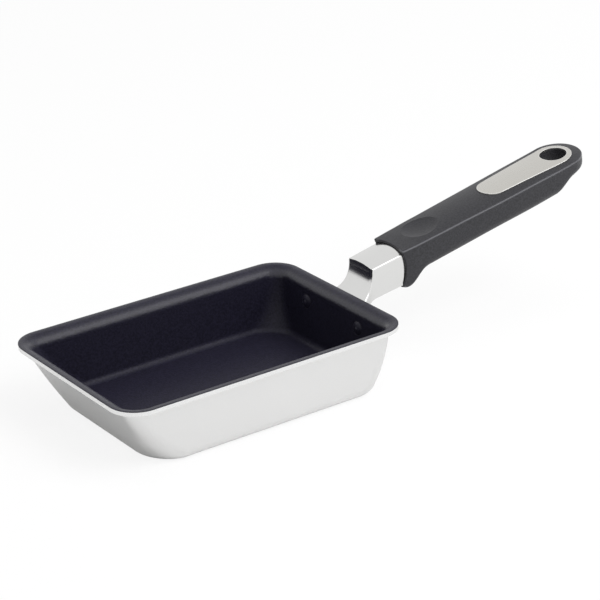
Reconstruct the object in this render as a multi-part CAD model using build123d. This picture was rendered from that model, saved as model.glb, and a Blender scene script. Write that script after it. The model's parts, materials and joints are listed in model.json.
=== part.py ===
from build123d import *
import os
from math import asin, cos, radians, sin, tan

# Tamagoyaki pan, in millimetres and degrees.
# Frame: Z is up, X runs from the pan's tip to the handle, and the origin is on the underside of
# the base, below the middle of the rim. The pan is the same on both sides of the XZ plane.

# Pan body and its rim
RIM_LENGTH = 190.0
RIM_WIDTH = 125.0
RIM_CORNER = 17.0
PAN_HEIGHT = 41.0
SHEET = 2.4
COATING = 0.25
FLANGE = 1.3
FLANGE_BEND = 7.0
SIDE_DRAFT = 2.0
TIP_DRAFT = 27.4
HANDLE_END_DRAFT = 5.0
FLOOR_CORNER = 27.0
BASE_ROUND = 6.5
CORNER_GROWTH_POWER = 3

# Rivets that hold the bracket on the handle end
RIVET_SPACING = 49.4
RIVET_DEPTH = 13.1
RIVET_SHANK = 4.8
INNER_HEAD = 9.0
INNER_DOME = 1.1
OUTER_HEAD = 8.6
OUTER_DOME = 2.0

# Handle bracket: a neck pressed from sheet, with wings on the pan and a tang in the grip
BRACKET_SHEET = 1.6
NECK_STANDOFF = 12.0
NECK_LEAVES = 7.0
NECK_HOLLOW = 18.0
NECK_BROW = 2.6
NECK_WIDTH = 22.8
NECK_GRIP_WIDTH = 24.3
NECK_CROWN = 1.4
NECK_SIDE = 19.6
NECK_LENGTH = 31.0
NECK_RISE = 11.3
NECK_UNDER_RISE = 9.6
NECK_FLARE = 22.0
FLARE_ROUND = 10.0
NECK_BEND = 1.8
THROAT_ROUND = 12.0
WING_SPAN = 66.0
WING_HEIGHT = 19.0
WING_RISE = 0.2
WING_CORNER = 6.0
TANG_WIDTH = 16.0
TANG_DROP = 7.0
TANG_LENGTH = 52.0
TANG_BEND = 4.0

# Screw, washer and nut that hold the grip on the tang
SCREW_SIZE = 5.0
SCREW_PLACE = 26.0
SCREW_PLAY = 0.1
SCREW_TIP = 1.2
SCREW_HEAD = 9.0
SCREW_HEAD_HEIGHT = 3.3
HEAD_ROUND = 1.0
DRIVE_SPAN = 5.0
DRIVE_SLOT = 1.1
DRIVE_DEPTH = 1.8
WASHER_WIDTH = 9.2
WASHER_THICKNESS = 1.3
WASHER_SPLIT = 0.9
NUT_FLATS = 8.0
NUT_HEIGHT = 4.0
RESIN_UNDER_TANG = 4.5

# Grip
GRIP_LENGTH = 149.0
GRIP_OVERLAP = 11.5
GRIP_FRONT_WIDTH = 26.8
GRIP_TAIL_WIDTH = 34.0
GRIP_DEPTH = 22.9
GRIP_FRONT_RIDGE = 20.5
GRIP_RISE = 26.9
GRIP_CROWN = 2.55
GRIP_SHOULDER = 1.2
GRIP_INSET = 1.2
GRIP_UNDER_ROUND = 8.0
GUARD_DROP = 6.2
FRONT_HOLLOW = 27.0
FRONT_HOLLOW_RISE = 6.5
FRONT_HOLLOW_PLACE = 6.9
FRONT_PLAN_ROUND = 45.0
TAIL_CUT_RISE = 43.0
TAIL_CUT_TO_TAIL = 27.7
TAIL_CUT_DEPTH = 21.0
TAIL_THICKNESS = 10.7
TAIL_CUT_ROUND = 12.0
TAIL_LIP_RISE = 9.0
TAIL_EDGE = 5.0
FRONT_EDGE = 0.6
FIT_GAP = 0.15
POCKET_ROOM = 1.0
THUMB_PLACE = 16.5
THUMB_ROUND = 42.0
THUMB_DEPTH = 0.8

# Hanging hole, and the steel plate set into the grip's top
HOLE_WIDTH = 16.9
HOLE_TO_TAIL = 18.0
PLATE_WIDTH = 24.6
PLATE_FRONT_WIDTH = 19.6
PLATE_LENGTH = 69.3
PLATE_TO_TAIL = 6.9
PLATE_THICKNESS = 1.2
PLATE_PROUD = 0.6
PLATE_HOLE_RIM = 0.3
LEG_WIDTH = 6.0
LEG_THICKNESS = 1.0
LEG_DEPTH = 5.0
LEG_SPACING = 26.0
LEG_TO_HOLE = 32.0

# One overrun for all cuts
OVERRUN = 60.0

# Stations along the grip, up to where its tail turns: place, width, ridge, depth, guard, crown
# and how far the under side is rounded and drawn in.
# Widths run from the front width to the tail width, and ridges from the front up the whole rise.
PLACE_SHARES = (0.0, 0.035, 0.075, 0.115, 0.16, 0.23, 0.36, 0.52, 0.68, 0.85, 1.0)
WIDTH_SHARES = (0.0, 0.09, 0.2, 0.27, 0.33, 0.41, 0.52, 0.72, 0.86, 0.96, 1.0)
RIDGE_SHARES = (0.0, 0.027, 0.071, 0.116, 0.169, 0.247, 0.387, 0.549, 0.708, 0.866, 1.0)
DEPTH_SHARES = (1.0, 1.0, 0.97, 0.93, 0.935, 0.945, 0.964, 0.943, 0.937, 0.913, 0.878)
GUARD_SHARES = (0.145, 0.42, 0.775, 0.46, 0.0, 0.0, 0.0, 0.0, 0.0, 0.0, 0.0)
CROWN_SHARES = (0.16, 0.24, 0.35, 0.45, 0.55, 0.69, 0.86, 0.98, 1.0, 0.85, 0.56)
UNDER_SHARES = (0.45, 0.45, 0.5, 0.6, 0.75, 0.9, 1.0, 1.0, 1.0, 1.0, 1.0)

# Sizes that follow
WALL = SHEET + COATING
RIM_FRONT = RIM_LENGTH / 2
NECK_FRONT = RIM_FRONT + NECK_STANDOFF
NECK_FOOT_Z = PAN_HEIGHT - NECK_LEAVES
NECK_ARC_Z = NECK_FOOT_Z + NECK_HOLLOW
NECK_TOP = NECK_ARC_Z + NECK_BROW
NECK_END = NECK_FRONT + NECK_LENGTH
NECK_RUN = NECK_LENGTH / cos(radians(NECK_RISE))
TANG_START = (NECK_CROWN - BRACKET_SHEET) / 2
TANG_LEVEL = TANG_START - TANG_DROP
TANG_TOP = TANG_LEVEL + BRACKET_SHEET / 2
TANG_UNDER = TANG_LEVEL - BRACKET_SHEET / 2
SEAT_LEVEL = TANG_UNDER - RESIN_UNDER_TANG
HEAD_LEVEL = SEAT_LEVEL - WASHER_THICKNESS
NUT_TOP = TANG_TOP + NUT_HEIGHT
POCKET_TOP = NUT_TOP + SCREW_TIP + POCKET_ROOM
SCREW_RUN = NECK_RUN + SCREW_PLACE
GRIP_FRONT = NECK_END - GRIP_OVERLAP
TAIL_ROUND = GRIP_TAIL_WIDTH / 2
TAIL_MIDDLE = GRIP_FRONT + GRIP_LENGTH - TAIL_ROUND
HOLE_X = GRIP_FRONT + GRIP_LENGTH - HOLE_TO_TAIL


def face_offset(draft, below, depth):
    """Distance in from the rim's edge to a wall face, at a depth under the rim's top.

    below is how far the face lies behind the coated face, square to it.
    """
    corner = FLANGE + FLANGE_BEND * tan(radians((90 - draft) / 2))
    return corner - below / cos(radians(draft)) + depth * tan(radians(draft))


def wall_section(below, depth):
    """Rounded rectangle of a wall face at a depth under the rim's top."""
    tip = face_offset(TIP_DRAFT, below, depth)
    side = face_offset(SIDE_DRAFT, below, depth)
    end = face_offset(HANDLE_END_DRAFT, below, depth)
    corner = RIM_CORNER - face_offset(SIDE_DRAFT, below, 0)
    radius = corner + (FLOOR_CORNER - corner) * (depth / PAN_HEIGHT) ** CORNER_GROWTH_POWER
    plane = Plane(((tip - end) / 2, 0, PAN_HEIGHT - depth))
    return plane * RectangleRounded(RIM_LENGTH - tip - end, RIM_WIDTH - side - side, radius)


def is_mouth(edge, below):
    """True for an edge where the walls meet the rim's plane."""
    box = edge.bounding_box()
    on_level = abs(box.min.Z - PAN_HEIGHT + below) + abs(box.max.Z - PAN_HEIGHT + below)
    return on_level < COATING / 10 and box.max.X < RIM_FRONT and box.min.X > -RIM_FRONT


def pan_form(below):
    """Everything inside one face of the pan, with the space above the rim."""
    full = PAN_HEIGHT - WALL + below
    walls = loft([wall_section(below, full * share) for share in (1, 1 / 2, 0)])
    walls = fillet(walls.edges().group_by(Axis.Z)[0], BASE_ROUND - WALL + below)
    rim_plane = Plane((0, 0, PAN_HEIGHT - below))
    above = extrude(rim_plane * Rectangle(RIM_LENGTH + OVERRUN, RIM_WIDTH + OVERRUN), OVERRUN)
    form = walls + above
    return fillet([edge for edge in form.edges() if is_mouth(edge, below)], FLANGE_BEND - below)


def rim_block(top):
    """The rim's outline, from the base's level up to a level."""
    return extrude(RectangleRounded(RIM_LENGTH, RIM_WIDTH, RIM_CORNER), top)


def end_wall(below, depth, across=0.0):
    """Plane on a face of the handle-end wall, facing away from the pan."""
    tilt = radians(HANDLE_END_DRAFT)
    x = RIM_FRONT - face_offset(HANDLE_END_DRAFT, below, depth)
    return Plane((x, across, PAN_HEIGHT - depth), x_dir=(0, 1, 0), z_dir=(cos(tilt), 0, -sin(tilt)))


def dome(width, height):
    """Round cap that stands on its plane."""
    half = width / 2
    sphere = (half * half + height * height) / (2 * height)
    lean = asin(half / sphere) / 2
    middle = (sphere * sin(lean), height - sphere + sphere * cos(lean))
    outline = ThreePointArc((half, 0), middle, (0, height)) + Polyline((0, height), (0, 0), (half, 0))
    return revolve(Plane.XZ * make_face(outline), Axis.Z)


def rivet_planes(below):
    """The two rivets' places on a face of the handle-end wall."""
    return [end_wall(below, RIVET_DEPTH, side * RIVET_SPACING / 2) for side in (-1, 1)]


def turned_in(plane):
    """The same place, facing into the pan."""
    return Plane(plane.origin, x_dir=plane.x_dir, z_dir=-plane.z_dir)


def make_pan():
    """The metal body and the coating over its inside."""
    metal_face = pan_form(COATING)
    body = (rim_block(PAN_HEIGHT - COATING) & pan_form(WALL)) - metal_face
    coat = (rim_block(PAN_HEIGHT) & metal_face) - pan_form(0)
    for plane in rivet_planes(COATING):
        hole = plane * Cylinder(RIVET_SHANK / 2, OVERRUN / 2)
        body -= hole
        inward = turned_in(plane)
        coat += inward * dome(INNER_HEAD + COATING + COATING, INNER_DOME + COATING)
        coat -= inward * dome(INNER_HEAD, INNER_DOME)
    return body, coat


def make_rivets():
    """Rivets from the inner face of the wall out through the bracket's wings."""
    grip_depth = SHEET + BRACKET_SHEET
    rivets = []
    for plane in rivet_planes(COATING):
        shank = extrude(plane * Circle(RIVET_SHANK / 2), grip_depth)
        outer = plane.offset(grip_depth) * dome(OUTER_HEAD, OUTER_DOME)
        rivets.append(turned_in(plane) * dome(INNER_HEAD, INNER_DOME) + shank + outer)
    return rivets


def along_neck(run, level):
    """Point in the neck's own frame: run up its slope, and level above its front top edge."""
    rise = radians(NECK_RISE)
    x = NECK_FRONT + run * cos(rise) - level * sin(rise)
    return x, NECK_TOP + run * sin(rise) + level * cos(rise)


def across_neck(run, level):
    """Plane that faces up, square to the neck's slope."""
    x, z = along_neck(run, level)
    rise = radians(NECK_RISE)
    return Plane((x, 0, z), x_dir=(0, 1, 0), z_dir=(-sin(rise), 0, cos(rise)))


def neck_side(reach):
    """Side outline of the neck. reach opens it below, behind and towards the pan."""
    centre_x = NECK_FRONT - NECK_HOLLOW
    above = NECK_TOP + OVERRUN
    under = NECK_TOP - NECK_SIDE
    end_under = under + NECK_LENGTH * tan(radians(NECK_UNDER_RISE))
    wing_foot = NECK_FOOT_Z + WING_RISE - WING_HEIGHT
    hollow = CenterArc((centre_x, NECK_ARC_Z), NECK_HOLLOW, -90, 90)
    if reach:
        rest = Polyline((NECK_FRONT, NECK_ARC_Z), (NECK_FRONT, above), (NECK_END + reach, above),
                        (NECK_END + reach, -reach), (centre_x - reach, -reach),
                        (centre_x - reach, NECK_FOOT_Z), (centre_x, NECK_FOOT_Z))
        return Plane.XZ * make_face(hollow + rest)
    throat = FilletPolyline((NECK_END, end_under), (NECK_FRONT, under), (centre_x, wing_foot),
                            radius=THROAT_ROUND)
    rest = Polyline((NECK_FRONT, NECK_ARC_Z), (NECK_FRONT, above), (NECK_END, above),
                    (NECK_END, end_under))
    foot = Line((centre_x, wing_foot), (centre_x, NECK_FOOT_Z))
    return Plane.XZ * make_face(hollow + rest + throat + foot)


def neck_plan():
    """Plan outline of the neck, which flares towards the pan."""
    back = NECK_FRONT - NECK_HOLLOW - NECK_HOLLOW
    flare = (NECK_FRONT - back) * tan(radians(NECK_FLARE))
    widen = (NECK_GRIP_WIDTH - NECK_WIDTH) / 2 * (NECK_LENGTH + OVERRUN) / NECK_LENGTH
    half = NECK_WIDTH / 2
    line = FilletPolyline((NECK_END + OVERRUN, half + widen), (NECK_FRONT, half),
                          (back, half + flare), radius=FLARE_ROUND)
    ends = Line((back, half + flare), (back, -half - flare))
    tail = Line((NECK_END + OVERRUN, half + widen), (NECK_END + OVERRUN, -half - widen))
    return make_face(line + ends + mirror(line, Plane.XZ) + tail)


def neck_form(inset, reach):
    """The neck as a solid, its faces moved in by inset. reach opens its hidden sides."""
    half = NECK_WIDTH / 2
    crown_round = (half * half + NECK_CROWN * NECK_CROWN) / (2 * NECK_CROWN)
    side = offset(neck_side(reach), -inset, kind=Kind.INTERSECTION) if inset else neck_side(reach)
    plan = offset(neck_plan(), -inset, kind=Kind.INTERSECTION) if inset else neck_plan()
    rise = radians(NECK_RISE)
    x, z = along_neck(0, NECK_CROWN - crown_round)
    slope = Plane((x, 0, z), x_dir=(0, 1, 0), z_dir=(cos(rise), 0, sin(rise)))
    crown = extrude(slope * Circle(crown_round - inset), OVERRUN + OVERRUN, both=True)
    tall = extrude(plan, OVERRUN + OVERRUN, both=True)
    return extrude(side, OVERRUN, both=True) & tall & crown


def is_neck_bend(edge):
    """True for the neck's long upper edges, where its sheet is bent."""
    middle = edge.center()
    front_half = NECK_WIDTH / 2 - NECK_CROWN / 2
    on_side = abs(middle.Y) > front_half and middle.Z > NECK_FOOT_Z + NECK_CROWN
    low = NECK_TOP + (middle.X - NECK_FRONT) * tan(radians(NECK_RISE)) - NECK_CROWN
    behind = middle.X > NECK_FRONT + NECK_CROWN
    if abs(middle.X - NECK_END) < NECK_CROWN or middle.X < NECK_FRONT - NECK_HOLLOW + NECK_CROWN:
        return False
    in_front = middle.X < NECK_FRONT and reach_from_hollow(middle) < NECK_HOLLOW + NECK_CROWN
    return on_side and (in_front or middle.Z > low or (not behind and middle.Z > NECK_ARC_Z))


def reach_from_hollow(point):
    """Distance from the axis of the hollow in the neck's front."""
    across = point.X - NECK_FRONT + NECK_HOLLOW
    above = point.Z - NECK_ARC_Z
    return (across * across + above * above) ** (1 / 2)


def neck_frame():
    """Side plane of the neck: X is the run up its slope and Y the level above its front edge."""
    rise = radians(NECK_RISE)
    return Plane((NECK_FRONT, 0, NECK_TOP), x_dir=(cos(rise), 0, sin(rise)), z_dir=(0, -1, 0))


def make_tang():
    """Tongue that leaves the neck's top sheet and steps down into the grip."""
    start = NECK_RUN - TANG_BEND
    step = TANG_DROP / 2
    line = FilletPolyline((start, TANG_START), (NECK_RUN + step, TANG_START),
                          (NECK_RUN + step + TANG_DROP, TANG_LEVEL),
                          (NECK_RUN + TANG_LENGTH, TANG_LEVEL), radius=TANG_BEND)
    strip = trace(line, line_width=BRACKET_SHEET)
    tang = extrude(neck_frame() * strip, TANG_WIDTH / 2, both=True)
    return fillet([edge for edge in tang.edges() if is_tang_corner(edge)], TANG_BEND)


def is_tang_corner(edge):
    """True for the two short corners at the tang's free end."""
    box = edge.bounding_box()
    end_x, end_z = along_neck(NECK_RUN + TANG_LENGTH - BRACKET_SHEET, TANG_LEVEL)
    return box.min.X > end_x - BRACKET_SHEET and box.size.Y < BRACKET_SHEET


def make_bracket():
    """Neck, wings on the pan, and tang, all of one sheet."""
    outer = neck_form(0, 0)
    outer = fillet([edge for edge in outer.edges() if is_neck_bend(edge)], NECK_BEND)
    wing_middle = NECK_LEAVES - WING_RISE + WING_HEIGHT / 2
    wing_plane = end_wall(WALL, wing_middle)
    wings = extrude(wing_plane * RectangleRounded(WING_SPAN, WING_HEIGHT, WING_CORNER), BRACKET_SHEET)
    bracket = outer + wings - neck_form(BRACKET_SHEET, OVERRUN)
    inside_pan = extrude(wing_plane * Rectangle(OVERRUN + OVERRUN, OVERRUN + OVERRUN), -OVERRUN)
    bracket = bracket - inside_pan + make_tang()
    for plane in rivet_planes(COATING):
        bracket -= plane * Cylinder(RIVET_SHANK / 2, OVERRUN / 2)
    return bracket - across_neck(SCREW_RUN, TANG_LEVEL) * Cylinder(SCREW_SIZE / 2 + SCREW_PLAY, TANG_DROP)


def grip_station(index):
    """Place, width, ridge height, depth and crown of the grip at one station."""
    x = GRIP_FRONT + PLACE_SHARES[index] * (TAIL_MIDDLE - GRIP_FRONT)
    width = GRIP_FRONT_WIDTH + WIDTH_SHARES[index] * (GRIP_TAIL_WIDTH - GRIP_FRONT_WIDTH)
    ridge = PAN_HEIGHT + GRIP_FRONT_RIDGE + RIDGE_SHARES[index] * GRIP_RISE
    depth = GRIP_DEPTH * DEPTH_SHARES[index] + GUARD_DROP * GUARD_SHARES[index]
    return x, width, ridge, depth, GRIP_CROWN * CROWN_SHARES[index]


def grip_section(index):
    """Cross-section of the grip at one station: crowned on top, round below."""
    x, width, ridge, depth, crown = grip_station(index)
    half = width / 2
    under = UNDER_SHARES[index]
    low = half - GRIP_INSET * under
    top = ThreePointArc((-half, -crown), (0, 0), (half, -crown))
    rest = Polyline((half, -crown), (low, -depth), (-low, -depth), (-half, -crown))
    section = make_face(top + rest)
    corners = section.vertices().group_by(Axis.Y)
    section = fillet(corners[0], GRIP_UNDER_ROUND * under)
    section = fillet(section.vertices().group_by(Axis.Y)[-1], GRIP_SHOULDER)
    return station_plane(index) * section


def station_plane(index):
    """Plane of a station. The last one is square to the tail's slope."""
    x, _, ridge = grip_station(index)[:3]
    lean = tail_slope() if index == len(PLACE_SHARES) - 1 else 0
    return Plane((x, 0, ridge), x_dir=(0, 1, 0), z_dir=(1, 0, lean))


def tail_slope():
    """Rise of the grip's ridge per length at its tail."""
    start_x, _, start = grip_station(len(PLACE_SHARES) - 2)[:3]
    end_x, _, end = grip_station(len(PLACE_SHARES) - 1)[:3]
    return (end - start) / (end_x - start_x)


def tail_cut():
    """Space under the tail, which leaves a thin lip around the hanging hole."""
    start_x = GRIP_FRONT + GRIP_LENGTH - TAIL_CUT_TO_TAIL
    end_ridge = PAN_HEIGHT + GRIP_FRONT_RIDGE + GRIP_RISE
    start_z = end_ridge - GRIP_CROWN - TAIL_CUT_DEPTH
    bend_z = end_ridge - TAIL_THICKNESS
    slope = tan(radians(TAIL_CUT_RISE))
    bend_x = start_x + (bend_z - start_z) / slope
    end_z = bend_z + OVERRUN * tan(radians(TAIL_LIP_RISE))
    low_x = start_x - start_z / slope
    line = FilletPolyline((low_x, 0), (bend_x, bend_z), (bend_x + OVERRUN, end_z),
                          radius=TAIL_CUT_ROUND)
    rest = Polyline((bend_x + OVERRUN, end_z), (bend_x + OVERRUN, 0), (low_x, 0))
    return extrude(Plane.XZ * make_face(line + rest), OVERRUN, both=True)


def grip_form():
    """The whole outside of the grip before its front, tail and underside are cut."""
    sections = [grip_section(index) for index in range(len(PLACE_SHARES))]
    plane = station_plane(len(sections) - 1)
    side = plane * Pos(OVERRUN / 2) * Rectangle(OVERRUN, OVERRUN + OVERRUN)
    tail = revolve(sections[-1] & side, Axis(plane.origin, plane.y_dir), -180)
    thumb_x = GRIP_FRONT + THUMB_PLACE
    thumb = Pos(thumb_x, 0, ridge_at(thumb_x) + THUMB_ROUND - THUMB_DEPTH) * Sphere(THUMB_ROUND)
    return loft(sections) + tail - thumb


def front_hollow():
    """Barrel that hollows the grip's front face, both across and from top to bottom."""
    deepest = GRIP_FRONT + FRONT_HOLLOW_PLACE
    middle = PAN_HEIGHT + FRONT_HOLLOW_RISE
    axis_x = deepest - FRONT_PLAN_ROUND
    arc = CenterArc((deepest - FRONT_HOLLOW, middle), FRONT_HOLLOW, -90, 180)
    top = middle + FRONT_HOLLOW
    under = middle - FRONT_HOLLOW
    rest = Polyline((deepest - FRONT_HOLLOW, top), (axis_x, top), (axis_x, under),
                    (deepest - FRONT_HOLLOW, under))
    return revolve(Plane.XZ * make_face(arc + rest), Axis((axis_x, 0, 0), (0, 0, 1)))


def slope_box(start, end, low, high, width):
    """Box in the neck's frame, between two runs and two levels."""
    box = Pos((start + end) / 2, (low + high) / 2) * Rectangle(end - start, high - low)
    return extrude(neck_frame() * box, width / 2, both=True)


def plate_outline(grow):
    """Plan outline of the plate in the grip's top."""
    tail = GRIP_FRONT + GRIP_LENGTH - PLATE_TO_TAIL
    front_round = PLATE_FRONT_WIDTH / 2
    tail_round = PLATE_WIDTH / 2
    front_end = Pos(tail - PLATE_LENGTH + front_round) * Circle(front_round + grow)
    tail_end = Pos(tail - tail_round) * Rot(0, 0, 180) * Circle(tail_round + grow)
    return make_hull(front_end.edges() + tail_end.edges())


def hole_plane():
    """Plane on the grip's top at the hanging hole, square to the tail's slope."""
    return Plane((HOLE_X, 0, ridge_at(HOLE_X)), x_dir=(0, 1, 0), z_dir=(-tail_slope(), 0, 1))


def plate_legs(grow):
    """Two legs that hold the plate in the grip."""
    middle = HOLE_X - LEG_TO_HOLE
    legs = []
    for side in (-1, 1):
        x = middle + side * LEG_SPACING / 2
        plane = Plane((x, 0, ridge_at(x)))
        shape = Rectangle(LEG_THICKNESS + grow + grow, LEG_WIDTH + grow + grow)
        legs.append(extrude(plane * shape, -LEG_DEPTH - grow))
    return legs


def ridge_at(x):
    """Height of the grip's ridge, on straight lines between its stations."""
    for index in range(1, len(PLACE_SHARES)):
        start_x, _, start = grip_station(index - 1)[:3]
        end_x, _, end = grip_station(index)[:3]
        if x <= end_x:
            return start + (end - start) * (x - start_x) / (end_x - start_x)
    return end


def shaped_grip(form):
    """The grip's form with its tail and front cut and their edges rounded."""
    cut = form - tail_cut()
    tail = fillet([edge for edge in cut.edges() if edge not in form.edges()], TAIL_EDGE)
    hollowed = tail - front_hollow()
    fresh = [edge for edge in hollowed.edges() if edge not in tail.edges()]
    front = [edge for edge in fresh if edge.center().X < NECK_END]
    return fillet(front, FRONT_EDGE)


def make_grip_and_plate():
    """The moulded grip, and the plate set into its top."""
    form = grip_form()
    lifted = Pos(0, 0, PLATE_PROUD) * form
    floor = Pos(0, 0, PLATE_PROUD - PLATE_THICKNESS) * form
    tall = (0, 0, PAN_HEIGHT + GRIP_FRONT_RIDGE)
    prism = extrude(Plane(tall) * plate_outline(0), OVERRUN)
    plate = (prism & lifted) - floor
    plate_hole = hole_plane() * Cylinder(HOLE_WIDTH / 2, GRIP_DEPTH)
    plate = plate + plate_legs(0) - plate_hole
    grip = shaped_grip(form)
    recess = extrude(Plane(tall) * plate_outline(FIT_GAP), OVERRUN) - floor
    grip = grip - recess - plate_legs(FIT_GAP)
    grip -= hole_plane() * Cylinder(HOLE_WIDTH / 2 - PLATE_HOLE_RIM, GRIP_DEPTH + GRIP_DEPTH)
    grip -= neck_form(-FIT_GAP, 0)
    room = TANG_WIDTH / 2 + POCKET_ROOM
    tang_end = NECK_RUN + TANG_LENGTH + POCKET_ROOM
    grip -= slope_box(NECK_RUN - TANG_BEND, tang_end, TANG_UNDER, POCKET_TOP, room + room)
    step_end = NECK_RUN + TANG_DROP + TANG_DROP
    grip -= slope_box(NECK_RUN - TANG_BEND, step_end, TANG_UNDER, NECK_CROWN, room + room)
    seat = across_neck(SCREW_RUN, SEAT_LEVEL)
    grip -= extrude(seat * Circle(WASHER_WIDTH / 2 + FIT_GAP + FIT_GAP), -GRIP_DEPTH)
    grip -= seat * Cylinder(SCREW_SIZE / 2 + FIT_GAP, TANG_DROP + TANG_DROP)
    return grip, plate


def make_screw():
    """Pan-head screw that enters from below, with a cross-shaped recess."""
    head_plane = across_neck(SCREW_RUN, HEAD_LEVEL)
    down = Plane(head_plane.origin, x_dir=head_plane.x_dir, z_dir=-head_plane.z_dir)
    head = extrude(down * Circle(SCREW_HEAD / 2), SCREW_HEAD_HEIGHT)
    head = fillet(head.edges().group_by(Axis.Z)[0], HEAD_ROUND)
    length = NUT_TOP + SCREW_TIP - HEAD_LEVEL
    shank = extrude(head_plane * Circle(SCREW_SIZE / 2), length)
    shank = chamfer(shank.edges().group_by(Axis.Z)[-1], SCREW_TIP / 2)
    screw = head + shank
    for turn in (0, 90):
        slot = down.offset(SCREW_HEAD_HEIGHT - DRIVE_DEPTH) * Rot(0, 0, turn)
        screw -= slot * extrude(Rectangle(DRIVE_SPAN, DRIVE_SLOT), DRIVE_DEPTH + HEAD_ROUND)
    return screw


def make_washer():
    """Split spring washer under the screw's head."""
    plane = across_neck(SCREW_RUN, HEAD_LEVEL)
    ring = Circle(WASHER_WIDTH / 2) - Circle(SCREW_SIZE / 2 + SCREW_PLAY)
    ring -= Pos(WASHER_WIDTH / 2) * Rectangle(WASHER_WIDTH, WASHER_SPLIT)
    return extrude(plane * ring, WASHER_THICKNESS)


def make_nut():
    """Hexagonal nut on the tang."""
    plane = across_neck(SCREW_RUN, TANG_TOP)
    nut = extrude(plane * RegularPolygon(NUT_FLATS / 2, 6, major_radius=False), NUT_HEIGHT)
    return nut - plane * Cylinder(SCREW_SIZE / 2 + SCREW_PLAY, OVERRUN)


def save(name, shape):
    """Write one piece, in the frame that all pieces share."""
    export_step(shape, "parts/" + name + ".step")


if __name__ == "__main__":
    os.makedirs("parts", exist_ok=True)
    body, coat = make_pan()
    save("pan_body", body)
    save("nonstick_coating", coat)
    save("handle_rivets", Compound(children=make_rivets()))
    save("handle_bracket", make_bracket())
    grip, plate = make_grip_and_plate()
    save("grip", grip)
    save("hang_plate", plate)
    save("grip_screw", make_screw())
    save("spring_washer", make_washer())
    save("tang_nut", make_nut())
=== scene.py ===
"""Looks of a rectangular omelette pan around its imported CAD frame.

The CAD nodes keep their shapes. Each sub-assembly of the pan is a class that holds the sizes
and colours of its nodes and dresses them in its finishes.

Lengths are in metres and angles in radians where nothing else is said.
"""

from __future__ import annotations

import json
import logging
import math
from dataclasses import dataclass, field
from enum import Enum

import bmesh
import bpy
from mathutils import Matrix, Vector

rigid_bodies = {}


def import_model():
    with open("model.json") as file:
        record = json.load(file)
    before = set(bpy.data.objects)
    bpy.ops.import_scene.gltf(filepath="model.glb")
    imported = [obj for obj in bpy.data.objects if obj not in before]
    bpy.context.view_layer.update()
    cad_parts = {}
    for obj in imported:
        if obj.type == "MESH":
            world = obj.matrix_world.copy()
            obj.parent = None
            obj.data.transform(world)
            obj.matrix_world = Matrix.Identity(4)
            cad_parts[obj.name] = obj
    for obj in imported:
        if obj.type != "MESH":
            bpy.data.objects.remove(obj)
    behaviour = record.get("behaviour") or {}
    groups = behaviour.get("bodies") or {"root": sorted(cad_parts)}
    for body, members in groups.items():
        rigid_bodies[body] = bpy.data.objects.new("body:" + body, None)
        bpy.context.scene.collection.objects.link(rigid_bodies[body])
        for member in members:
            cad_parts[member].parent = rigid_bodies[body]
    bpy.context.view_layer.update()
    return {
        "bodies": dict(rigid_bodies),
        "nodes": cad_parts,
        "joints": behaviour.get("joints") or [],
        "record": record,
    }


LOG = logging.getLogger("omelette_pan")

Colour = tuple[float, float, float]
Point = tuple[float, float, float]
Span = tuple[float, float]
Socket = bpy.types.NodeSocket

WHITE: Colour = (1.0, 1.0, 1.0)
UPWARD: Point = (0.0, 0.0, 1.0)
FULL: Span = (0.0, 1.0)
FADING: Span = (1.0, 0.0)

HANDLE_SLOPE = math.radians(11.0)


class Node(str, Enum):
    """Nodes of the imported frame."""

    PAN_BODY = "pan_body"
    COATING = "nonstick_coating"
    RIVETS = "handle_rivets"
    BRACKET = "handle_bracket"
    GRIP = "grip"
    PLATE = "hang_plate"
    SCREW = "grip_screw"
    WASHER = "spring_washer"
    NUT = "tang_nut"


class Axis(Enum):
    """Directions along which a place can be measured."""

    X = 0
    Y = 1
    Z = 2


class Ray(Enum):
    """Kinds of ray that a surface of the studio may answer in its own way."""

    CAMERA = "Is Camera Ray"
    GLOSSY = "Is Glossy Ray"
    TRANSMISSION = "Is Transmission Ray"


class Step(Enum):
    """Steps of arithmetic with factors."""

    PLUS = "ADD"
    MINUS = "SUBTRACT"
    TIMES = "MULTIPLY"
    UNSIGNED = "ABSOLUTE"


@dataclass(frozen=True)
class Grain:
    """Irregular pattern in a surface.

    Attributes:
        per_metre: Features per metre.
        detail: Octaves of noise. A pattern of cells has none.
        relief: Depth of the relief that it leaves.
    """

    per_metre: float
    detail: float = 0.0
    relief: float = 0.0


def shade(colour: Colour, factor: float) -> Colour:
    """A colour made lighter or darker."""
    return (colour[0] * factor, colour[1] * factor, colour[2] * factor)


def around(middle: float, reach: float) -> Span:
    """Span of a reach to both sides of a middle."""
    return (middle - reach, middle + reach)


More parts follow.
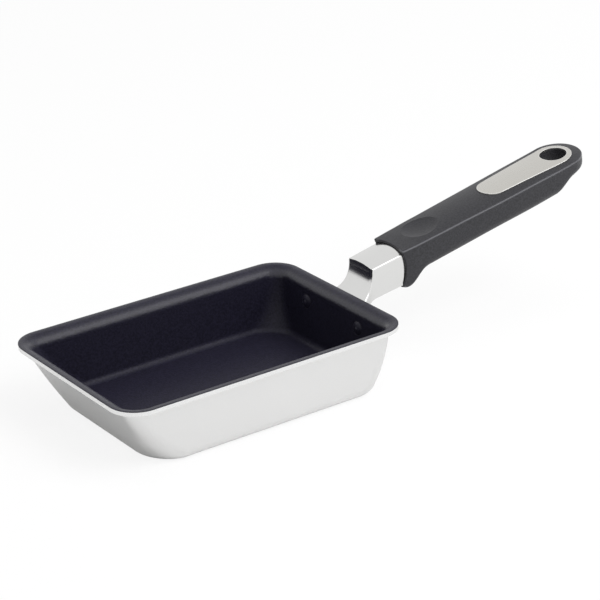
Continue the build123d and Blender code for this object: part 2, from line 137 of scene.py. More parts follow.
class Graph:
    """Node tree of one material, built in a maker's terms.

    Attributes:
        material: The material that the tree belongs to.
        tree: Its node tree.
        shader: Its Principled BSDF.
        output: Its output node.
        EDGE_SAMPLES: Places looked at round each point of the surface for an edge.
        SHOULDER_SAMPLES: Places looked at for a shoulder.
        EDGE_TURN: Cosines of the surface's turn where an edge is full and where it starts.
    """

    EDGE_SAMPLES: int = 6
    SHOULDER_SAMPLES: int = 10
    EDGE_TURN: Span = (0.86, 0.985)

    def __init__(self, name: str) -> None:
        """Start a material that has a Principled BSDF and object coordinates.

        Args:
            name: Name of the material.
        """
        self.material = bpy.data.materials.new(name)
        self.material.use_nodes = True
        self.tree = self.material.node_tree
        self.tree.nodes.clear()
        self.output = self.tree.nodes.new("ShaderNodeOutputMaterial")
        self.shader = self.tree.nodes.new("ShaderNodeBsdfPrincipled")
        self.tree.links.new(self.shader.outputs["BSDF"], self.output.inputs["Surface"])
        self._place = self.tree.nodes.new("ShaderNodeTexCoord").outputs["Object"]
        self._parts = self.tree.nodes.new("ShaderNodeSeparateXYZ")
        self.tree.links.new(self._place, self._parts.inputs["Vector"])
        self._normal: Socket | None = None

    def link(self, source: Socket, name: str) -> None:
        """Feed the shader's input of that name."""
        self.tree.links.new(source, self.shader.inputs[name])

    def set(self, name: str, value: float | tuple[float, ...]) -> None:
        """Give the shader's input of that name one value all over the surface."""
        self.shader.inputs[name].default_value = value

    def stretched(self, scale: Point, turn: Point) -> Socket:
        """Object coordinates, turned and then scaled along each axis.

        Args:
            scale: Scale along each axis.
            turn: Turn about each axis.

        Returns:
            The coordinates.
        """
        turned = self.tree.nodes.new("ShaderNodeMapping")
        turned.inputs["Rotation"].default_value = turn
        self.tree.links.new(self._place, turned.inputs["Vector"])
        scaled = self.tree.nodes.new("ShaderNodeMapping")
        scaled.inputs["Scale"].default_value = scale
        self.tree.links.new(turned.outputs["Vector"], scaled.inputs["Vector"])
        return scaled.outputs["Vector"]

    def noise(self, grain: Grain, place: Socket | None = None) -> Socket:
        """Cloudy noise.

        Args:
            grain: Its fineness.
            place: Coordinates, plain object coordinates by default.

        Returns:
            A factor from 0 to 1.
        """
        texture = self.tree.nodes.new("ShaderNodeTexNoise")
        texture.inputs["Scale"].default_value = grain.per_metre
        texture.inputs["Detail"].default_value = grain.detail
        self.tree.links.new(place or self._place, texture.inputs["Vector"])
        return texture.outputs["Fac"]

    def cells(self, grain: Grain) -> Socket:
        """Distance from the middles of irregular cells, for flakes and spark craters.

        Args:
            grain: The fineness of the cells.

        Returns:
            A distance, 0 in the middle of a cell.
        """
        texture = self.tree.nodes.new("ShaderNodeTexVoronoi")
        texture.inputs["Scale"].default_value = grain.per_metre
        self.tree.links.new(self._place, texture.inputs["Vector"])
        return texture.outputs["Distance"]

    def plus(self, first: Socket | float, second: Socket | float) -> Socket:
        """Sum of two factors."""
        return self._take(Step.PLUS, first, second)

    def minus(self, first: Socket | float, second: Socket | float) -> Socket:
        """The first factor less the second."""
        return self._take(Step.MINUS, first, second)

    def times(self, first: Socket | float, second: Socket | float) -> Socket:
        """Product of two factors."""
        return self._take(Step.TIMES, first, second)

    def _take(self, step: Step, first: Socket | float, second: Socket | float) -> Socket:
        """Take one step of arithmetic.

        Args:
            step: The step.
            first: First operand.
            second: Second operand.

        Returns:
            The result.
        """
        node = self.tree.nodes.new("ShaderNodeMath")
        node.operation = step.value
        for slot, operand in zip(node.inputs, (first, second)):
            if isinstance(operand, float):
                slot.default_value = operand
            else:
                self.tree.links.new(operand, slot)
        return node.outputs["Value"]

    def spread(self, source: Socket, result: Span, across: Span = FULL) -> Socket:
        """Map a span of a factor smoothly to another span.

        Args:
            source: The factor to map.
            result: Results at the start and the end.
            across: Factors at which the change starts and ends.

        Returns:
            The mapped value.
        """
        node = self.tree.nodes.new("ShaderNodeMapRange")
        node.interpolation_type = "SMOOTHSTEP"
        names = ("From Min", "From Max", "To Min", "To Max")
        for name, value in zip(names, (*across, *result)):
            node.inputs[name].default_value = value
        self.tree.links.new(source, node.inputs["Value"])
        return node.outputs["Result"]

    def past(self, axis: Axis, level: float, fade: float) -> Socket:
        """Mask that rises from 0 to 1, over a fade, where a coordinate passes a level."""
        return self.spread(self._parts.outputs[axis.value], FULL, around(level, fade / 2.0))

    def short_of(self, axis: Axis, level: float, fade: float) -> Socket:
        """Mask that falls from 1 to 0, over a fade, where a coordinate passes a level."""
        return self.minus(1.0, self.past(axis, level, fade))

    def beyond(self, axis: Axis, distance: float, fade: float) -> Socket:
        """Mask that rises, over a fade, at a distance to both sides of the middle plane."""
        away = self._take(Step.UNSIGNED, self._parts.outputs[axis.value], 0.0)
        return self.spread(away, FULL, around(distance, fade / 2.0))

    def edges(self, radius: float) -> Socket:
        """Mask of the surface near an edge, where hands and racks wear a finish and a highlight
        is painted.

        Args:
            radius: How far the wear and the painted highlight reach from the edge.

        Returns:
            The mask, 1 on the edge.
        """
        rounded = self._rounded(radius, self.EDGE_SAMPLES)
        geometry = self.tree.nodes.new("ShaderNodeNewGeometry")
        product = self.tree.nodes.new("ShaderNodeVectorMath")
        product.operation = "DOT_PRODUCT"
        self.tree.links.new(rounded, product.inputs[0])
        self.tree.links.new(geometry.outputs["Normal"], product.inputs[1])
        return self.spread(product.outputs["Value"], FADING, self.EDGE_TURN)

    def shoulder(self, radius: float, lean: Span, fade: float) -> Socket:
        """Mask of the rounded shoulder between upright and level surfaces.

        Args:
            radius: How far the shoulder reaches to each side.
            lean: Upward lean of the surface at which the mask starts and ends, where an
                upright surface has 0 and a level one 1.
            fade: Change of the lean over which it comes and goes.

        Returns:
            The mask.
        """
        parts = self.tree.nodes.new("ShaderNodeSeparateXYZ")
        self.tree.links.new(self._rounded(radius, self.SHOULDER_SAMPLES), parts.inputs["Vector"])
        low, high = lean
        rising = self.spread(parts.outputs["Z"], FULL, (low, low + fade))
        falling = self.spread(parts.outputs["Z"], FADING, (high - fade, high))
        return self.times(rising, falling)

    def _rounded(self, radius: float, samples: int) -> Socket:
        """Direction that the surface would face if its edges were rounded.

        Args:
            radius: Radius of the rounding.
            samples: Number of places near each point that are looked at.

        Returns:
            The direction.
        """
        bevel = self.tree.nodes.new("ShaderNodeBevel")
        bevel.samples = samples
        bevel.inputs["Radius"].default_value = radius
        return bevel.outputs["Normal"]

    def tint(self, mask: Socket, low: Colour | Socket, high: Colour | Socket) -> Socket:
        """Blend two colours by a mask.

        Args:
            mask: Share of the second colour.
            low: First colour.
            high: Second colour.

        Returns:
            The blended colour.
        """
        node = self.tree.nodes.new("ShaderNodeMix")
        node.data_type = "RGBA"
        slots = [slot for slot in node.inputs if slot.type == "RGBA"]
        for slot, colour in zip(slots, (low, high)):
            if isinstance(colour, tuple):
                slot.default_value = (*colour, 1.0)
            else:
                self.tree.links.new(colour, slot)
        self.tree.links.new(mask, node.inputs["Factor"])
        return next(slot for slot in node.outputs if slot.type == "RGBA")

    def shades(self, mask: Socket, colour: Colour, factors: Span) -> Socket:
        """Blend a darker and a lighter shade of a colour by a mask."""
        return self.tint(mask, shade(colour, factors[0]), shade(colour, factors[1]))

    def gloss(self, weight: Socket, roughness: float) -> None:
        """Lay a clear burnish of a weight over the surface, which follows the same relief."""
        self.link(weight, "Coat Weight")
        self.set("Coat Roughness", roughness)

    def soften(self, radius: float) -> None:
        """Round the edges of the shaded surface, under every relief that follows."""
        self._normal = self._rounded(radius, self.EDGE_SAMPLES)

    def bump(self, height: Socket, relief: float) -> None:
        """Add a relief on top of the reliefs so far.

        Args:
            height: The relief, from 0 to 1.
            relief: The depth that 1 stands for.
        """
        node = self.tree.nodes.new("ShaderNodeBump")
        node.inputs["Distance"].default_value = relief
        self.tree.links.new(height, node.inputs["Height"])
        if self._normal is not None:
            self.tree.links.new(self._normal, node.inputs["Normal"])
        self._normal = node.outputs["Normal"]
        self.link(self._normal, "Normal")
        self.link(self._normal, "Coat Normal")


@dataclass(frozen=True)
class SilverLacquer:
    """Satin silver lacquer over pressed aluminium, with a bare turned edge at the rim.

    Attributes:
        colour: Colour of the lacquer.
        edge_colour: Colour of the bare metal of the rim's edge.
        rim_height: Height of the rim's top over the base.
        edge_depth: How far below the rim's top the bare edge reaches.
        base_height: Height up to which the base is scuffed by the hob.
        metallic: Share of metal in the lacquer's shine.
        roughness: Roughness of the lacquer, which follows the clouds.
        flakes: Metal flakes in the lacquer.
        flake_reach: Distance from a flake's middle at which it ends.
        flake_shades: Shades of the lacquer beside and on a flake.
        peel: Slight waves of the sprayed lacquer.
        clouds: Slow changes from thick to thin lacquer.
        thin: Noise from which the lacquer is thin to where it is thinnest.
        show_through: Share of bare metal that shows where it is thinnest.
        scuffs: Scuffs of the hob.
        scuff_stretch: Fineness of a scuff along and across its run.
        scuff_turn: Turn of its run.
        scuff_noise: Noise from which there is a scuff to where it is deepest.
        scuff_fade: Height over which the scuffs fade out.
        scuff_share: Share of the scuff's shade in the lacquer.
        scuff_shade: Shade of the lacquer in a scuff.
        scuff_roughness: What a scuff adds to the roughness.
        edge_fade: Height over which the lacquer goes over to bare metal.
        edge_polish: What the bare edge takes from the roughness.
    """

    colour: Colour
    edge_colour: Colour
    rim_height: float
    edge_depth: float
    base_height: float
    metallic: float = 0.92
    roughness: Span = (0.31, 0.39)
    flakes: Grain = Grain(3200.0, relief=0.000004)
    flake_reach: Span = (0.0, 0.55)
    flake_shades: Span = (0.975, 1.03)
    peel: Grain = Grain(620.0, 2.0, 0.00001)
    clouds: Grain = Grain(22.0, 2.0)
    thin: Span = (0.35, 0.65)
    show_through: float = 0.12
    scuffs: Grain = Grain(90.0, 5.0)
    scuff_stretch: Point = (1.0, 9.0, 9.0)
    scuff_turn: Point = (0.0, 0.0, 0.35)
    scuff_noise: Span = (0.60, 0.74)
    scuff_fade: float = 0.002
    scuff_share: float = 0.5
    scuff_shade: float = 0.7
    scuff_roughness: float = 0.12
    edge_fade: float = 0.0005
    edge_polish: float = 0.12

    def material(self) -> bpy.types.Material:
        """Make the material.

        Returns:
            The lacquered metal.
        """
        graph = Graph("silver_lacquer")
        graph.set("Metallic", self.metallic)
        flakes = graph.spread(graph.cells(self.flakes), FADING, self.flake_reach)
        clouds = graph.noise(self.clouds)
        peel = graph.noise(self.peel)
        scuffs = graph.noise(self.scuffs, graph.stretched(self.scuff_stretch, self.scuff_turn))
        scuffs = graph.spread(scuffs, FULL, self.scuff_noise)
        low_down = graph.short_of(Axis.Z, self.base_height, self.scuff_fade)
        wear = graph.times(scuffs, low_down)
        bare = graph.past(Axis.Z, self.rim_height - self.edge_depth, self.edge_fade)
        lacquer = graph.shades(flakes, self.colour, self.flake_shades)
        thin = graph.spread(clouds, (0.0, self.show_through), self.thin)
        lacquer = graph.tint(thin, lacquer, self.edge_colour)
        scuffed = graph.times(wear, self.scuff_share)
        lacquer = graph.tint(scuffed, lacquer, shade(self.colour, self.scuff_shade))
        graph.link(graph.tint(bare, lacquer, self.edge_colour), "Base Color")
        rough = graph.spread(clouds, self.roughness)
        rough = graph.plus(rough, graph.times(wear, self.scuff_roughness))
        rough = graph.minus(rough, graph.times(bare, self.edge_polish))
        graph.link(rough, "Roughness")
        graph.bump(peel, self.peel.relief)
        graph.bump(flakes, self.flakes.relief)
        return graph.material


@dataclass(frozen=True)
class NonstickCoat:
    """Sprayed near-black fluoropolymer with a fine grain and mineral flecks.

    Attributes:
        colour: Colour of the coat.
        fleck_colour: Colour of the mineral flecks.
        rim_height: Height of the rim's top over the base.
        roll: Height of the rolled part of the rim.
        roughness: Mean roughness on the floor and the walls.
        roughness_reach: How far the roughness strays from the mean.
        rim_roughness: Mean roughness on the rolled rim, and of the burnish there.
        burnish: Weight of the burnish that wiping leaves on the rolled rim.
        burnish_depth: Depth under the rim's top at which the burnish ends.
        burnish_fade: Height over which it ends.
        thickness: Radius with which the sprayed coat rounds what it covers.
        refraction: Index of refraction of the coat.
        grain: Fine grain of the spray.
        speckle: Mottling of the pigment.
        speckle_noise: Noise at which the mottling starts and is full.
        speckle_shades: Shades of the coat in the mottling.
        clouds: Slow changes of the roughness.
        flecks: Mineral flecks.
        fleck_reach: Distance from a fleck's middle at which it starts to end, and ends.
        fleck_share: Share of the fleck's colour in the coat.
        fleck_polish: What a fleck takes from the roughness.
    """

    colour: Colour
    fleck_colour: Colour
    rim_height: float
    roll: float
    roughness: float = 0.42
    roughness_reach: float = 0.03
    rim_roughness: float = 0.30
    burnish: float = 0.7
    burnish_depth: float = 0.0015
    burnish_fade: float = 0.0022
    thickness: float = 0.0009
    refraction: float = 1.32
    grain: Grain = Grain(1500.0, 4.0, 0.00005)
    speckle: Grain = Grain(850.0, 3.0, 0.00003)
    speckle_noise: Span = (0.35, 0.65)
    speckle_shades: Span = (0.74, 1.26)
    clouds: Grain = Grain(30.0, 2.0)
    flecks: Grain = Grain(1100.0)
    fleck_reach: Span = (0.08, 0.24)
    fleck_share: float = 0.5
    fleck_polish: float = 0.1

    def material(self) -> bpy.types.Material:
        """Make the material.

        Returns:
            The coat.
        """
        graph = Graph("nonstick_coat")
        graph.set("Metallic", 0.0)
        graph.set("IOR", self.refraction)
        grain = graph.noise(self.grain)
        speckle = graph.spread(graph.noise(self.speckle), FULL, self.speckle_noise)
        clouds = graph.noise(self.clouds)
        flecks = graph.spread(graph.cells(self.flecks), FADING, self.fleck_reach)
        coat = graph.shades(speckle, self.colour, self.speckle_shades)
        coat = graph.tint(graph.times(flecks, self.fleck_share), coat, self.fleck_colour)
        graph.link(coat, "Base Color")
        rolled = graph.past(Axis.Z, self.rim_height - self.roll, self.roll)
        gain = graph.times(rolled, self.roughness - self.rim_roughness)
        rough = graph.spread(clouds, around(self.roughness, self.roughness_reach))
        rough = graph.minus(rough, gain)
        rough = graph.minus(rough, graph.times(flecks, self.fleck_polish))
        graph.link(rough, "Roughness")
        burnish_top = self.rim_height - self.burnish_depth
        below = graph.short_of(Axis.Z, burnish_top, self.burnish_fade)
        burnished = graph.times(graph.times(rolled, below), self.burnish)
        graph.gloss(burnished, self.rim_roughness)
        graph.soften(self.thickness)
        graph.bump(speckle, self.speckle.relief)
        graph.bump(grain, self.grain.relief)
        return graph.material


@dataclass(frozen=True)
class FinelyLinedMetal:
    """Polished sheet metal with lines along the handle, and worn edges with painted highlights.

    Attributes:
        name: Name of the material.
        colour: Colour of the metal.
        edge_colour: Colour of the metal on an edge, worn and with a painted highlight.
        edge: How far the wear and painted highlight of an edge reach.
        roughness: Mean roughness.
        slope: Rise of the lines along X.
        lines: Polishing lines.
        line_stretch: Fineness of the lines along and across their run.
        line_shades: Shades of the metal in the lines.
        line_roughness: What the lines add to the roughness.
        clouds: Slow changes of the polish.
        cloud_share: Greatest share of the cloud's shade in the metal.
        cloud_shade: Shade of the metal in a cloud.
        cloud_roughness: What the clouds add to the roughness.
        edge_polish: What an edge takes from the roughness.
        edge_round: Radius of an edge, as a share of its shine's reach.
    """

    name: str
    colour: Colour
    edge_colour: Colour
    edge: float
    roughness: float
    slope: float
    lines: Grain = Grain(2600.0, 5.0, 0.000002)
    line_stretch: Point = (0.045, 1.0, 1.0)
    line_shades: Span = (0.975, 1.025)
    line_roughness: Span = (-0.03, 0.03)
    clouds: Grain = Grain(45.0, 3.0)
    cloud_share: float = 0.3
    cloud_shade: float = 0.95
    cloud_roughness: Span = (-0.02, 0.03)
    edge_polish: float = 0.04
    edge_round: float = 0.6

    def material(self) -> bpy.types.Material:
        """Make the material.

        Returns:
            The metal.
        """
        graph = Graph(self.name)
        graph.set("Metallic", 1.0)
        along = graph.stretched(self.line_stretch, (0.0, self.slope, 0.0))
        lines = graph.noise(self.lines, along)
        clouds = graph.noise(self.clouds)
        # Edge mask: wear, and a painted highlight along every edge.
        wear_and_painted_highlight = graph.edges(self.edge)
        metal = graph.shades(lines, self.colour, self.line_shades)
        cloudy = graph.spread(clouds, (0.0, self.cloud_share))
        metal = graph.tint(cloudy, metal, shade(self.colour, self.cloud_shade))
        # Wear and painted highlight: the edges take the lighter edge colour.
        graph.link(graph.tint(wear_and_painted_highlight, metal, self.edge_colour), "Base Color")
        rough = graph.plus(graph.spread(clouds, self.cloud_roughness), self.roughness)
        rough = graph.plus(rough, graph.spread(lines, self.line_roughness))
        rough = graph.minus(rough, graph.times(wear_and_painted_highlight, self.edge_polish))
        graph.link(rough, "Roughness")
        graph.soften(self.edge * self.edge_round)
        graph.bump(lines, self.lines.relief)
        return graph.material


@dataclass(frozen=True)
class MouldedResin:
    """Charcoal resin from a spark-eroded mould, with painted highlights on its glossy shoulders.

    Attributes:
        colour: Colour of the resin.
        refraction: Index of refraction of the resin.
        roughness: Mean roughness.
        roughness_reach: How far the roughness strays from the mean.
        craters: Fine craters of the mould.
        crater_reach: Distance from a crater's middle at which it starts to end, and ends.
        grain: Grain of the resin.
        mottle_noise: Noise at which the grain's mottling starts and is full.
        mottle_shades: Shades of the resin in the mottling.
        clouds: Slow changes from handling.
        cloud_share: Greatest share of the cloud's shade in the resin.
        cloud_shade: Shade of the resin in a cloud.
        edge: How far the painted highlight and gloss of an edge reach.
        edge_lean: Upward lean of the surface at which the painted highlight and gloss start and
            end.
        edge_lean_fade: Change of the lean over which it comes and goes.
        flat: Distance from the middle within which the top has no edge.
        flat_fade: Width over which that ends.
        edge_shade: Lighter shade of the resin, the painted highlight along the shoulders.
        edge_polish: What the shoulders' glossy band takes from the roughness.
        edge_gloss: Roughness of the clear gloss on the shoulders.
    """

    colour: Colour
    refraction: float = 1.38
    roughness: float = 0.45
    roughness_reach: float = 0.04
    craters: Grain = Grain(1500.0, relief=0.00003)
    crater_reach: Span = (0.05, 0.6)
    grain: Grain = Grain(950.0, 5.0, 0.00008)
    mottle_noise: Span = (0.3, 0.7)
    mottle_shades: Span = (0.62, 1.38)
    clouds: Grain = Grain(38.0, 3.0)
    cloud_share: float = 0.35
    cloud_shade: float = 1.2
    edge: float = 0.0018
    edge_lean: Span = (0.1, 0.92)
    edge_lean_fade: float = 0.34
    flat: float = 0.0095
    flat_fade: float = 0.002
    edge_shade: float = 2.7
    edge_polish: float = 0.1
    edge_gloss: float = 0.28

    def material(self) -> bpy.types.Material:
        """Make the material.

        Returns:
            The resin.
        """
        graph = Graph("grip_resin")
        graph.set("Metallic", 0.0)
        graph.set("IOR", self.refraction)
        craters = graph.spread(graph.cells(self.craters), FULL, self.crater_reach)
        grain = graph.noise(self.grain)
        clouds = graph.noise(self.clouds)
        # Shoulder band: a painted highlight in the colour, a real gloss and a lower roughness.
        outer = graph.beyond(Axis.Y, self.flat, self.flat_fade)
        shoulder = graph.shoulder(self.edge, self.edge_lean, self.edge_lean_fade)
        gloss_and_painted_highlight = graph.times(shoulder, outer)
        mottle = graph.spread(grain, FULL, self.mottle_noise)
        resin = graph.shades(mottle, self.colour, self.mottle_shades)
        handled = graph.spread(clouds, (0.0, self.cloud_share))
        resin = graph.tint(handled, resin, shade(self.colour, self.cloud_shade))
        # Painted highlight: the resin is made much lighter along the shoulders.
        resin = graph.tint(gloss_and_painted_highlight, resin, shade(self.colour, self.edge_shade))
        graph.link(resin, "Base Color")
        rough = graph.spread(clouds, around(self.roughness, self.roughness_reach))
        rough = graph.minus(rough, graph.times(gloss_and_painted_highlight, self.edge_polish))
        graph.link(rough, "Roughness")
        graph.gloss(gloss_and_painted_highlight, self.edge_gloss)
        graph.bump(craters, self.craters.relief)
        graph.bump(grain, self.grain.relief)
        return graph.material


@dataclass(frozen=True)
class ZincPlating:
    """Bright zinc on the steel of the screw, washer and nut.

    Attributes:
        colour: Colour of the zinc.
        roughness: Roughness of the zinc, which follows the clouds.
        clouds: Changes of the zinc.
        cloud_shades: Shades of the zinc in the clouds.
        spangle: Crystals of the zinc.
        edge: How far the wear and painted highlight of an edge reach.
        edge_shade: Shade of the zinc on an edge, worn and with a painted highlight.
        edge_round: Radius of an edge.
    """

    colour: Colour
    roughness: Span = (0.24, 0.40)
    clouds: Grain = Grain(420.0, 4.0)
    cloud_shades: Span = (0.9, 1.08)
    spangle: Grain = Grain(1800.0, relief=0.000006)
    edge: float = 0.0003
    edge_shade: float = 1.25
    edge_round: float = 0.00015

    def material(self) -> bpy.types.Material:
        """Make the material.

        Returns:
            The zinc plating.
        """
        graph = Graph("zinc_plate")
        graph.set("Metallic", 1.0)
        clouds = graph.noise(self.clouds)
        spangle = graph.cells(self.spangle)
        wear_and_painted_highlight = graph.edges(self.edge)
        zinc = graph.shades(clouds, self.colour, self.cloud_shades)
        # Wear and painted highlight: the zinc is lighter on every edge.
        zinc = graph.tint(wear_and_painted_highlight, zinc, shade(self.colour, self.edge_shade))
        graph.link(zinc, "Base Color")
        graph.link(graph.spread(clouds, self.roughness), "Roughness")
        graph.soften(self.edge_round)
        graph.bump(spangle, self.spangle.relief)
        return graph.material


Finish = SilverLacquer | NonstickCoat | FinelyLinedMetal | MouldedResin | ZincPlating


class SubAssembly:
    """Part of the pan whose nodes are dressed together."""

    def finishes(self) -> dict[Node, Finish]:
        """Finish of each node."""
        raise NotImplementedError

    def dress(self, frame: dict) -> None:
        """Give each node its material. Nodes of one finish share one material.

        Args:
            frame: The loaded frame.
        """
        made: dict[Finish, bpy.types.Material] = {}
        for node, finish in self.finishes().items():
            if finish not in made:
                made[finish] = finish.material()
            for slot in frame["nodes"][node.value].material_slots:
                slot.material = made[finish]
            LOG.info("%s: %s wears %s", type(self).__name__, node.value, made[finish].name)


@dataclass
class PanShell(SubAssembly):
    """Pressed pan, its coat and the rivets that hold the handle.

    Attributes:
        rim_height: Height of the rim's top over the base.
        edge_depth: Depth of the bare turned edge of the rim.
        base_height: Height of the part of the outside that touches a hob.
        roll: Height of the rolled part of the rim inside.
        rivet_edge: How far the wear and painted highlight of a rivet's edge reach.
        rivet_roughness: Mean roughness of the rivets.
        silver: Colour of the lacquer and the rivets.
        bare: Colour of the bare metal, also of the rivets' worn edges with their painted
            highlight.
        black: Colour of the coat.
        fleck: Colour of the coat's mineral flecks.
    """

    rim_height: float = 0.041
    edge_depth: float = 0.0030
    base_height: float = 0.0012
    roll: float = 0.0070
    rivet_edge: float = 0.0004
    rivet_roughness: float = 0.30
    silver: Colour = (0.712, 0.711, 0.707)
    bare: Colour = (0.765, 0.765, 0.762)
    black: Colour = (0.0135, 0.0125, 0.0240)
    fleck: Colour = (0.055, 0.055, 0.070)

    def finishes(self) -> dict[Node, Finish]:
        """Lacquered body, sprayed coat and rivets with level lines.

        Returns:
            The finishes, by node.
        """
        return {
            Node.PAN_BODY: SilverLacquer(
                colour=self.silver,
                edge_colour=self.bare,
                rim_height=self.rim_height,
                edge_depth=self.edge_depth,
                base_height=self.base_height,
            ),
            Node.COATING: NonstickCoat(
                colour=self.black,
                fleck_colour=self.fleck,
                rim_height=self.rim_height,
                roll=self.roll,
            ),
            Node.RIVETS: FinelyLinedMetal(
                name="rivet_aluminium",
                colour=self.silver,
                edge_colour=self.bare,
                edge=self.rivet_edge,
                roughness=self.rivet_roughness,
                slope=0.0,
            ),
        }


@dataclass
class HandleNeck(SubAssembly):
    """Pressed steel bracket between the pan and the grip.

    Attributes:
        slope: Rise of the handle along X.
        edge: How far the wear and painted highlight of its edges reach.
        roughness: Mean roughness of the polished steel.
        steel: Colour of the polished steel.
        bright: Colour of the steel on an edge, worn and with a painted highlight.
    """

    slope: float = HANDLE_SLOPE
    edge: float = 0.0004
    roughness: float = 0.15
    steel: Colour = (0.675, 0.675, 0.667)
    bright: Colour = (0.92, 0.92, 0.91)

    def finishes(self) -> dict[Node, Finish]:
        """Polished bracket with lines along the handle.

        Returns:
            The finishes, by node.
        """
        return {
            Node.BRACKET: FinelyLinedMetal(
                name="bracket_steel",
                colour=self.steel,
                edge_colour=self.bright,
                edge=self.edge,
                roughness=self.roughness,
                slope=self.slope,
            )
        }


@dataclass
class Grip(SubAssembly):
    """Moulded grip with the steel plate round its hanging hole.

    Attributes:
        slope: Rise of the handle along X.
        plate_edge: How far the worn edge of the plate, with its painted highlight, reaches.
        plate_roughness: Mean roughness of the plate.
        plate_lines: Polishing lines of the plate.
        charcoal: Colour of the resin.
        plate: Colour of the satin steel plate.
        plate_bright: Colour of the plate's edge, worn and with a painted highlight.
    """

    slope: float = HANDLE_SLOPE
    plate_edge: float = 0.0010
    plate_roughness: float = 0.28
    plate_lines: Grain = Grain(2600.0, 5.0, 0.0000025)
    charcoal: Colour = (0.0230, 0.0230, 0.0268)
    plate: Colour = (0.560, 0.548, 0.516)
    plate_bright: Colour = (0.90, 0.89, 0.87)

    def finishes(self) -> dict[Node, Finish]:
        """Moulded grip, and satin plate with lines along the handle.

        Returns:
            The finishes, by node.
        """
        return {
            Node.GRIP: MouldedResin(self.charcoal),
            Node.PLATE: FinelyLinedMetal(
                name="plate_steel",
                colour=self.plate,
                edge_colour=self.plate_bright,
                edge=self.plate_edge,
                roughness=self.plate_roughness,
                slope=self.slope,
                lines=self.plate_lines,
            ),
        }


@dataclass
class GripFastening(SubAssembly):
    """Screw, spring washer and nut that hold the grip on the bracket's tang.

    Attributes:
        zinc: Colour of the plating.
    """

    zinc: Colour = (0.62, 0.62, 0.63)

    def finishes(self) -> dict[Node, Finish]:
        """One plating on all three."""
        return dict.fromkeys((Node.SCREW, Node.WASHER, Node.NUT), ZincPlating(self.zinc))


@dataclass(frozen=True)
class Softbox:
    """Rectangular area light that faces a target.

    Attributes:
        name: Name of the light.
        place: Where the light hangs.
        size: Its width and height.
        power: Its power in watts.
        matt: Whether it lights matt surfaces.
        gloss: Whether it shows in gloss, where the white room shows otherwise.
        target: The point that it faces.
    """

    name: str
    place: Point
    size: Span
    power: float
    matt: bool = True
    gloss: bool = True
    target: Point = (0.05, 0.0, 0.03)

    def hang(self) -> None:
        """Make the light and put it in its place."""
        data = bpy.data.lights.new(self.name, "AREA")
        data.shape = "RECTANGLE"
        data.size, data.size_y = self.size
        data.energy = self.power
        light = bpy.data.objects.new(self.name, data)
        bpy.context.scene.collection.objects.link(light)
        light.location = self.place
        light.visible_diffuse = self.matt
        light.visible_glossy = self.gloss
        aim = Vector(self.target) - Vector(self.place)
        light.rotation_euler = aim.to_track_quat("-Z", "Y").to_euler()


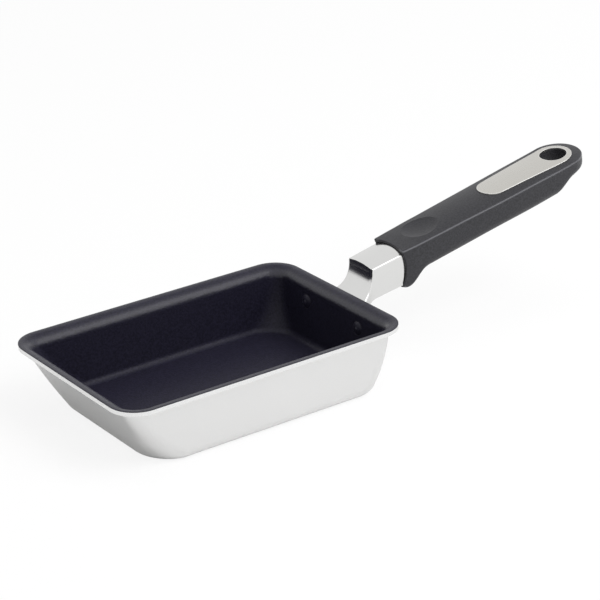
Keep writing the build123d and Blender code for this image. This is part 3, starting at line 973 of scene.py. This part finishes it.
@dataclass
class Studio:
    """White room with a pale floor and soft lamps.

    Attributes:
        reach: Half the floor's width.
        level: Height of the floor.
        paper: Colour of the floor.
        paper_roughness: Roughness of the floor.
        glow: Share of plain white that each kind of ray sees on the floor.
        ambient: Brightness with which the room lights matt surfaces.
        room: Brightness of the room to the kinds of ray that see it.
        lamps: The lamps.
    """

    reach: float = 3.0
    level: float = -0.0002
    paper: Colour = (0.95, 0.95, 0.95)
    paper_roughness: float = 0.9
    glow: dict[Ray, float] = field(
        default_factory=lambda: {Ray.CAMERA: 0.85, Ray.GLOSSY: 0.05, Ray.TRANSMISSION: 0.85}
    )
    ambient: float = 0.4
    room: float = 1.0
    lamps: tuple[Softbox, ...] = (
        Softbox("key_softbox", (0.90, -1.35, 1.75), (1.6, 1.6), 42.0, gloss=False),
        Softbox("overhead_softbox", (0.20, 0.05, 3.0), (2.6, 2.4), 22.0, gloss=False),
        Softbox("sheen_softbox", (1.15, -1.72, 1.22), (1.6, 1.6), 9.0, matt=False),
    )

    def build(self) -> None:
        """Make the room, the floor and the lamps."""
        bpy.context.scene.world = self._room()
        self._floor()
        for lamp in self.lamps:
            lamp.hang()
        LOG.info("studio: a floor, a white room and %d lamps", len(self.lamps))

    def _room(self) -> bpy.types.World:
        """World that is white to the camera and to gloss, and lights matt surfaces less.

        Returns:
            The world.
        """
        world = bpy.data.worlds.new("white_room")
        world.use_nodes = True
        tree = world.node_tree
        tree.nodes.clear()
        output = tree.nodes.new("ShaderNodeOutputWorld")
        mix = tree.nodes.new("ShaderNodeMixShader")
        for slot, strength in enumerate((self.ambient, self.room), start=1):
            background = tree.nodes.new("ShaderNodeBackground")
            background.inputs["Color"].default_value = (*WHITE, 1.0)
            background.inputs["Strength"].default_value = strength
            tree.links.new(background.outputs["Background"], mix.inputs[slot])
        tree.links.new(self._share(tree, dict.fromkeys(Ray, 1.0)), mix.inputs["Fac"])
        tree.links.new(mix.outputs["Shader"], output.inputs["Surface"])
        return world

    def _floor(self) -> bpy.types.Object:
        """Floor sheet, wide enough to fill every view.

        Returns:
            The floor.
        """
        sheet = bmesh.new()
        bmesh.ops.create_grid(sheet, x_segments=1, y_segments=1, size=self.reach)
        bmesh.ops.translate(sheet, verts=sheet.verts, vec=(0.0, 0.0, self.level))
        mesh = bpy.data.meshes.new("floor")
        sheet.to_mesh(mesh)
        sheet.free()
        mesh.materials.append(self._paper_finish())
        floor = bpy.data.objects.new("floor", mesh)
        bpy.context.scene.collection.objects.link(floor)
        return floor

    def _paper_finish(self) -> bpy.types.Material:
        """Matt white paper, which keeps a light form of the pan's shadow.

        Returns:
            The floor's material.
        """
        graph = Graph("floor_paper")
        graph.set("Roughness", self.paper_roughness)
        graph.set("Specular IOR Level", 0.0)
        graph.set("Base Color", (*self.paper, 1.0))
        tree = graph.tree
        white = tree.nodes.new("ShaderNodeEmission")
        mix = tree.nodes.new("ShaderNodeMixShader")
        tree.links.new(self._share(tree, self.glow), mix.inputs["Fac"])
        tree.links.new(graph.shader.outputs["BSDF"], mix.inputs[1])
        tree.links.new(white.outputs["Emission"], mix.inputs[2])
        tree.links.new(mix.outputs["Shader"], graph.output.inputs["Surface"])
        return graph.material

    @staticmethod
    def _share(tree: bpy.types.NodeTree, weights: dict[Ray, float]) -> Socket:
        """Share of plain white for the kind of ray that arrives.

        Args:
            tree: The node tree that gets the nodes.
            weights: The share for each kind of ray.

        Returns:
            The share.
        """
        path = tree.nodes.new("ShaderNodeLightPath")
        total: Socket | None = None
        for ray, weight in weights.items():
            node = tree.nodes.new("ShaderNodeMath")
            node.operation = "MULTIPLY_ADD"
            node.inputs[1].default_value = weight
            node.inputs[2].default_value = 0.0
            tree.links.new(path.outputs[ray.value], node.inputs[0])
            if total is not None:
                tree.links.new(total, node.inputs[2])
            total = node.outputs["Value"]
        return total


@dataclass(frozen=True)
class CameraPose:
    """Camera that looks past a point above the origin.

    Attributes:
        azimuth: Turn of the camera about the vertical from the pan's right side, in degrees.
        elevation: Height of the camera over the horizon, in degrees.
        roll: Turn of the picture in its own plane, in degrees.
        shift: The point's place right of and below the middle of the view.
        distance: Distance from the camera to the point along the view.
        point_height: Height of the point over the pan's base.
        focal_pixels: Focal length in pixels of a picture that is frame_pixels wide.
        frame_pixels: Width of the picture in pixels.
        sensor: Width of the sensor in millimetres.
        clip: Distances between which the camera sees.
    """

    azimuth: float = -36.0556
    elevation: float = 23.766
    roll: float = 0.9454
    shift: Span = (-0.0509994, 0.0181494)
    distance: float = 1.303
    point_height: float = 0.041
    focal_pixels: float = 2314.35
    frame_pixels: float = 600.0
    sensor: float = 36.0
    clip: Span = (0.1, 20.0)

    def axes(self) -> Matrix:
        """Rows of the camera's right, down and forward directions.

        Returns:
            A rotation from the world to the camera.
        """
        azimuth, elevation, roll = map(math.radians, (self.azimuth, self.elevation, self.roll))
        level = math.cos(elevation)
        forward = Vector(
            (-math.sin(azimuth) * level, math.cos(azimuth) * level, -math.sin(elevation))
        )
        right = forward.cross(Vector(UPWARD)).normalized()
        down = forward.cross(right)
        cosine, sine = math.cos(roll), math.sin(roll)
        return Matrix((cosine * right + sine * down, cosine * down - sine * right, forward))

    def build(self) -> None:
        """Make the camera and set it as the scene's."""
        axes = self.axes()
        position = -(axes.transposed() @ Vector((*self.shift, self.distance)))
        position.z += self.point_height
        turn = Matrix((axes[0], -axes[1], -axes[2])).transposed()
        data = bpy.data.cameras.new("camera")
        data.sensor_width = self.sensor
        data.lens = self.focal_pixels * self.sensor / self.frame_pixels
        data.clip_start, data.clip_end = self.clip
        camera = bpy.data.objects.new("camera", data)
        camera.matrix_world = Matrix.Translation(position) @ turn.to_4x4()
        scene = bpy.context.scene
        scene.collection.objects.link(camera)
        scene.camera = camera
        scene.view_settings.view_transform = "Standard"
        LOG.info("camera at %s", tuple(round(value, 4) for value in position))


def main() -> None:
    """Dress the pan, then build the studio and the camera."""
    logging.basicConfig(level=logging.INFO, format="%(name)s: %(message)s")
    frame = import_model()
    for part in (PanShell(), HandleNeck(), Grip(), GripFastening()):
        part.dress(frame)
    Studio().build()
    CameraPose().build()


if __name__ == "__main__":
    main()
